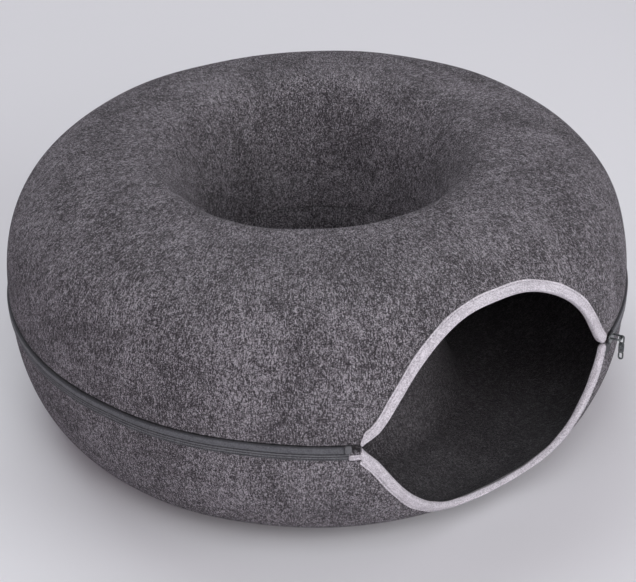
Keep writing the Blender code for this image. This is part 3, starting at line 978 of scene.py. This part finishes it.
def lowerTapeOutline():
    # up the outside with its beads and the grooves beside them, in over the felt's edge and up behind the
    # chain; a bead is a flat-topped bell of the height
    face = np.linspace(zipper["tapeBottom"], zipper["tapeTop"], 60)
    beads = zipper["beads"]
    proudness = sum(proud * np.exp(-(((face - middle) / half) ** 4)) for middle, proud, half in beads)
    radius = zipper["tapeFace"] + proudness
    # painted light and shade: the beads are lighter and the grooves darker by how proud the tape stands
    base, rise = zipper["tapePaintedLightAndShade"]
    raised = rise * proudness / proudness.max() + base
    front = zipper["chainIn"] - zipper["turnedBehind"]
    back = front - zipper["turnedThickness"]
    inward = [
        (0.0004, -0.00276),
        (-0.0005, -0.00276),
        (front, -0.0026),
        (front, -0.0016),
        (front, -0.0007),
        (back, -0.0007),
        (back, -0.0016),
        (back, -0.0027),
        (front - 0.0003, -0.00294),
        (0.0, -0.00296),
        (zipper["tapeBack"], -0.0032),
        (zipper["tapeBack"], -0.0060),
        (zipper["tapeBack"], zipper["tapeBottom"]),
    ]
    inRadius, inHeight = np.array(inward).T
    return np.r_[radius, inRadius], np.r_[face, inHeight], np.r_[raised, 0.0 * inRadius]


def upperTapeOutline():
    # from the chain's back, in under the felt's edge and up behind the felt
    thin = zipper["upperTapeThickness"]
    behind = -ring["felt"] - zipper["upperTapeBehind"]
    rise = zipper["upperTapeHeight"]
    shape = [
        (zipper["chainIn"] - 0.0003, -thin / 2),
        (zipper["chainIn"] - 0.0003, thin / 2),
        (behind + 0.0012, thin / 2),
        (behind + 0.0003, thin / 2 + 0.0003),
        (behind, thin / 2 + 0.0012),
        (behind - 0.0002, rise * 0.6),
        (behind, rise),
        (behind - thin, rise),
        (behind - thin - 0.0002, rise * 0.6),
        (behind - thin, 0.0012),
        (behind - 0.0004, 0.0),
        (behind + 0.0012, -thin / 2),
    ]
    radius, height = np.array(shape).T
    return radius, height, 0.0 * radius


def zipPlace(node):
    # angle and radius of the middle of a node's box, about the well's axis
    low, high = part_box(node)
    middle = (low + high) / 2
    return math.atan2(middle.x, axisY - middle.y) % (2 * math.pi), math.hypot(middle.x, middle.y - axisY)


def turnOf(length):
    # the angle that a length takes up on the outer radius
    return length / ring["outerRadius"]


boxAngle, boxRadius = zipPlace("zip_end_box")
boxAngle += turnOf(endBox["shift"])
pullAngle, pullRadius = zipPlace("zip_pull")
sliderAngle = mouth["right"] + turnOf(slider["past"])
zipStart = sliderAngle + turnOf(slider["plate"][0] / 2 + zipper["endGap"])
zipEnd = boxAngle - turnOf(endBox["size"][0] / 2 + zipper["endGap"])
tapeEnd = 2 * np.pi + mouth["left"] - turnOf(zipper["tailClear"])


def makeZip():
    # the chain, the tape in front of the lower felt with a short strip under the slider, darkened as painted
    # shadow, and the tape behind
    chainPart = aroundPart(*chainOutline(), zipStart, zipEnd, squeezed=True)
    chain = makeFromParts("zip_chain_band", [chainPart], clothFinishes["zip_chain"], sharp=50)
    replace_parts(chain, "zip_coil")

    high, low = zipper["endStrip"]
    near, far = zipper["tapeBack"], zipper["tapeFace"]
    # painted shadow: the whole strip gets the dark tone
    tone = np.full(4, zipper["stripPaintedShadow"])
    strip = (np.array([far, far, near, near]), np.array([low, high, high, low]), tone)
    stripStart = mouth["right"] + turnOf(zipper["endPast"])
    stripEnd = zipStart - turnOf(zipper["endGap"])
    faceParts = [aroundPart(*lowerTapeOutline(), zipStart, tapeEnd), aroundPart(*strip, stripStart, stripEnd)]
    lower = makeFromParts("zip_face_tape", faceParts, clothFinishes["slate_tape"], sharp=60)
    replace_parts(lower, "zip_lower_tape")

    backPart = aroundPart(*upperTapeOutline(), zipStart, zipEnd)
    upper = makeFromParts("zip_back_tape", [backPart], clothFinishes["slate_tape"], sharp=50)
    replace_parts(upper, "zip_upper_tape")


def makeZipStitches():
    # stitches in line along the middle bead of the tape's face
    clear = zipper["stitchClear"]
    angle = np.arange(zipStart + clear, tapeEnd - clear, turnOf(zipper["stitchPitch"]))
    beadProud = zipper["beads"][1][1]
    radius = ring["outerRadius"] + zipper["tapeFace"] + beadProud + lumps(angle, zipHeight)
    height = settled(angle, zipHeight + zipper["stitchHeight"] + wandering(angle))
    places = onRing(radius, angle, height)
    sizes = (zipper["stitchLength"], zipper["stitchThickness"])
    stitches = stitchParts(places, alongRing(angle), outOfRing(angle), *sizes)
    makeFromParts("zip_stitches", [stitches], clothFinishes["slate_thread"])


makeZip()
makeZipStitches()
print("zip made")


# end box, slider and pull

solid = {
    "rings": 25,
    "ringPoints": 32,
    "ends": 0.985,  # share of the quarter turn at which an end is capped
    "tubePoints": 14,
    "tubeSquareness": 0.65,
    "loopPoints": 48,
}


def pebble(size, squareness, nose=0.0):
    # a superellipsoid with rings from its left end to its right one, drawn in towards the right by the
    # nose's share
    turn = np.linspace(-np.pi / 2, np.pi / 2, solid["rings"])[:, None] * solid["ends"]
    spin = np.linspace(0.0, 2 * np.pi, solid["ringPoints"], endpoint=False)[None, :]
    exponent = 2.0 / squareness
    along = signedPower(np.sin(turn), exponent) * size[0] / 2
    girth = signedPower(np.cos(turn), exponent)
    draw = 1.0 - nose * np.clip(0.5 + along / size[0], 0.0, 1.0) ** 2
    out = girth * signedPower(np.cos(spin), exponent) * size[1] / 2
    up = girth * signedPower(np.sin(spin), exponent) * size[2] / 2 * draw
    return np.stack(np.broadcast_arrays(along, out, up), axis=-1)


def tube(path, flat, halfWide, halfThick, closed):
    # a tube of superellipse section along a path that lies in one plane, whose normal is flat
    if closed:
        tangent = np.roll(path, -1, axis=0) - np.roll(path, 1, axis=0)
    else:
        tangent = np.gradient(path, axis=0)
    tangent /= np.linalg.norm(tangent, axis=1)[:, None]
    flat = np.broadcast_to(np.asarray(flat, float), path.shape)
    side = np.cross(tangent, flat)
    turn = np.linspace(0.0, 2 * np.pi, solid["tubePoints"], endpoint=False)
    wide = (signedPower(np.cos(turn), solid["tubeSquareness"]) * halfWide)[None, :, None]
    thick = (signedPower(np.sin(turn), solid["tubeSquareness"]) * halfThick)[None, :, None]
    return path[:, None, :] + side[:, None, :] * wide + flat[:, None, :] * thick


def stadium(wide, tall):
    # a loop with straight sides and round ends, standing in the plane of outwards and up
    radius = wide / 2
    straight = tall / 2 - radius
    turn = np.linspace(0.0, 2 * np.pi, solid["loopPoints"], endpoint=False)
    up = radius * np.sin(turn) + straight * np.sign(np.sin(turn))
    return np.stack([0.0 * turn, radius * np.cos(turn), up], axis=-1)


def standOnRing(points, angle, radius, height, beside=0.0):
    # from along the zip, outwards and up, to the place on the ring
    along, out, up = alongRing(angle), outOfRing(angle), np.array([0.0, 0.0, 1.0])
    middle = np.array([0.0, axisY, height]) + out * radius + along * beside
    return middle + points[..., 0:1] * along + points[..., 1:2] * out + points[..., 2:3] * up


surface = ring["outerRadius"] + float(lumps(sliderAngle, zipHeight))
barOut = pullRadius * math.cos(pullAngle - sliderAngle) - surface + pull["out"]


def makeEndBox():
    # a squarish pebble past the end of the chain
    height = float(settled(boxAngle, zipHeight)) + endBox["raised"]
    box = sweepPart(standOnRing(pebble(endBox["size"], endBox["squareness"]), boxAngle, boxRadius, height))
    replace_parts(makeFromParts("zip_box", [box], hardFinishes["end_box"]), "zip_end_box")


def makeSlider():
    # a flat body and a bridge that rises from it to the bar which carries the pull
    turn = np.linspace(0.0, np.pi, 33)
    squareness = slider["bridgeSquareness"]
    along = slider["bridgeMiddle"] - slider["bridgeHalf"] * signedPower(np.cos(turn), squareness)
    rise = slider["plateOut"] + (barOut - slider["plateOut"]) * signedPower(np.sin(turn), squareness)
    bridge = tube(np.stack([along, rise, 0.0 * turn], axis=1), (0, 0, 1), *slider["bridgeTube"], closed=False)
    plate = pebble(slider["plate"], slider["squareness"], slider["nose"])
    body = [
        sweepPart(standOnRing(plate, sliderAngle, surface + slider["plateOut"], zipHeight)),
        sweepPart(standOnRing(bridge, sliderAngle, surface, zipHeight)),
    ]
    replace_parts(makeFromParts("slider", body, hardFinishes["gunmetal"]), "zip_slider")


def makePull():
    # an eye at its top, a solid tongue and an open slot at its foot, each reaching a wall's width into the
    # next, filling the height of its node
    low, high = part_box("zip_pull")
    beside = pullRadius * math.sin(pullAngle - sliderAngle)
    eyeWide, eyeTall = pull["eye"]
    slotWide, slotTall = pull["slot"]
    wall = 2 * pull["ringTube"][0]
    eyeRing = tube(stadium(eyeWide - wall, eyeTall - wall), (1, 0, 0), *pull["ringTube"], closed=True)
    slotRing = tube(stadium(slotWide - wall, slotTall - wall), (1, 0, 0), *pull["ringTube"], closed=True)
    tongueTall = (high.z - low.z) - eyeTall - slotTall + 2 * wall
    tongue = pebble((tongueTall, *pull["tongue"]), pull["tongueSquareness"])[..., ::-1]  # stood upright
    tongueMiddle = high.z - eyeTall + wall - tongueTall / 2
    place = (sliderAngle, surface + barOut)
    parts = [
        sweepPart(standOnRing(eyeRing, *place, high.z - eyeTall / 2, beside), closed=True),
        sweepPart(standOnRing(tongue, *place, tongueMiddle, beside)),
        sweepPart(standOnRing(slotRing, *place, low.z + slotTall / 2, beside), closed=True),
    ]
    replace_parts(makeFromParts("pull", parts, hardFinishes["gunmetal"]), "zip_pull")


makeEndBox()
makeSlider()
makePull()
print("zip fittings made")


# seam round the waist of the well

seam = {
    "pitch": 0.0062,
    "length": 0.0052,
    "thickness": 0.00032,
    "lean": math.radians(24),
    "raised": 0.0002,
}


def makeSeam():
    # slanting stitches across the line where the two shells meet
    count = round(2 * np.pi * waistRadius / seam["pitch"])
    angle = np.arange(0.0, 2 * np.pi, 2 * np.pi / count)
    places = onRing(waistRadius - seam["raised"] - lumps(angle, waistHeight), angle, waistHeight)
    upright = np.array([0.0, 0.0, 1.0])
    headings = alongRing(angle) * math.sin(seam["lean"]) + upright * math.cos(seam["lean"])
    stitches = stitchParts(places, headings, -outOfRing(angle), seam["length"], seam["thickness"])
    makeFromParts("waist_stitches", [stitches], clothFinishes["seam_thread"])


makeSeam()
print("waist seam made")


# floor, light and camera

studio = {
    "floorSize": 12.0,
    "floorColour": (0.80, 0.79, 0.815),
    "floorHeight": -0.0002,  # just clear of the felt
    "floorRoughness": 0.9,
    "worldColour": (1.0, 0.85, 0.99),
    "worldStrength": 0.265,
}
# soft lamps: over the viewer, before the bed at its left, low in front, at the mouth's right side, and at
# the back
lamps = {
    "over": {"place": (-0.9, -1.3, 2.6), "size": 1.4, "watts": 13.0, "colour": (0.89, 1.0, 0.99)},
    "left": {"place": (-0.9, -1.5, 1.5), "size": 1.2, "watts": 9.0, "colour": (1.0, 1.0, 1.0)},
    "low": {"place": (-0.2, -2.4, 0.8), "size": 1.4, "watts": 16.0, "colour": (1.0, 1.0, 1.0)},
    "right": {"place": (1.2, -2.0, 1.1), "size": 1.2, "watts": 16.0, "colour": (0.95, 1.0, 1.0)},
    "back": {"place": (0.3, 1.6, 2.6), "size": 2.4, "watts": 36.0, "colour": (0.91, 1.0, 0.99)},
}

floorMesh = bpy.data.meshes.new("floor")
half, level = studio["floorSize"] / 2, studio["floorHeight"]
corners = [(-half, -half, level), (half, -half, level), (half, half, level), (-half, half, level)]
floorMesh.from_pydata(corners, [], [(0, 1, 2, 3)])
floor = bpy.data.objects.new("floor", floorMesh)
bpy.context.scene.collection.objects.link(floor)
floorFinish, _, floorShader = newMaterial("floor")
floorShader.inputs["Base Color"].default_value = (*studio["floorColour"], 1.0)
floorShader.inputs["Roughness"].default_value = studio["floorRoughness"]
floorMesh.materials.append(floorFinish)

world = bpy.data.worlds.new("studio")
bpy.context.scene.world = world
world.use_nodes = True
background = world.node_tree.nodes["Background"]
background.inputs["Color"].default_value = (*studio["worldColour"], 1.0)
background.inputs["Strength"].default_value = studio["worldStrength"]


def addLamp(name, place, size, watts, colour):
    # a square lamp, aimed at the middle of the well at the height of the zip
    lamp = bpy.data.lights.new(name, "AREA")
    lamp.shape = "SQUARE"
    lamp.size = size
    lamp.energy = watts
    lamp.color = colour
    made = bpy.data.objects.new(name, lamp)
    made.location = place
    aim = Vector((0.0, axisY, zipHeight))
    made.rotation_euler = (aim - Vector(place)).to_track_quat("-Z", "Y").to_euler()
    bpy.context.scene.collection.objects.link(made)


for lampName, lampFacts in lamps.items():
    addLamp(lampName, **lampFacts)

# the camera looks at a point on the well's axis, from the left of the mouth and above
viewpoint = {
    "azimuth": math.radians(-33.1),
    "elevation": math.radians(32.05),
    "roll": math.radians(-1.42),
    "distance": 1.4875,
    "aimHeight": 0.0911,
    "lens": 101.7,
    "sensor": 36.0,
    "farthest": 50.0,
}


def addCamera():
    # its axes from the two angles, turned about the line of sight by the roll
    a, e, r = viewpoint["azimuth"], viewpoint["elevation"], viewpoint["roll"]
    back = Vector((math.sin(a) * math.cos(e), -math.cos(a) * math.cos(e), math.sin(e)))
    right = Vector((math.cos(a), math.sin(a), 0.0))
    up = back.cross(right)
    tiltedRight = math.cos(r) * right + math.sin(r) * up
    tiltedUp = math.cos(r) * up - math.sin(r) * right
    lens = bpy.data.cameras.new("camera")
    lens.sensor_width = viewpoint["sensor"]
    lens.lens = viewpoint["lens"]
    lens.clip_end = viewpoint["farthest"]
    camera = bpy.data.objects.new("camera", lens)
    turned = Matrix((tiltedRight, tiltedUp, back)).transposed().to_4x4()
    place = Vector((0.0, axisY, viewpoint["aimHeight"])) + back * viewpoint["distance"]
    camera.matrix_world = Matrix.Translation(place) @ turned
    bpy.context.scene.collection.objects.link(camera)
    bpy.context.scene.camera = camera


addCamera()
bpy.context.scene.view_settings.view_transform = "Standard"
print("studio made")
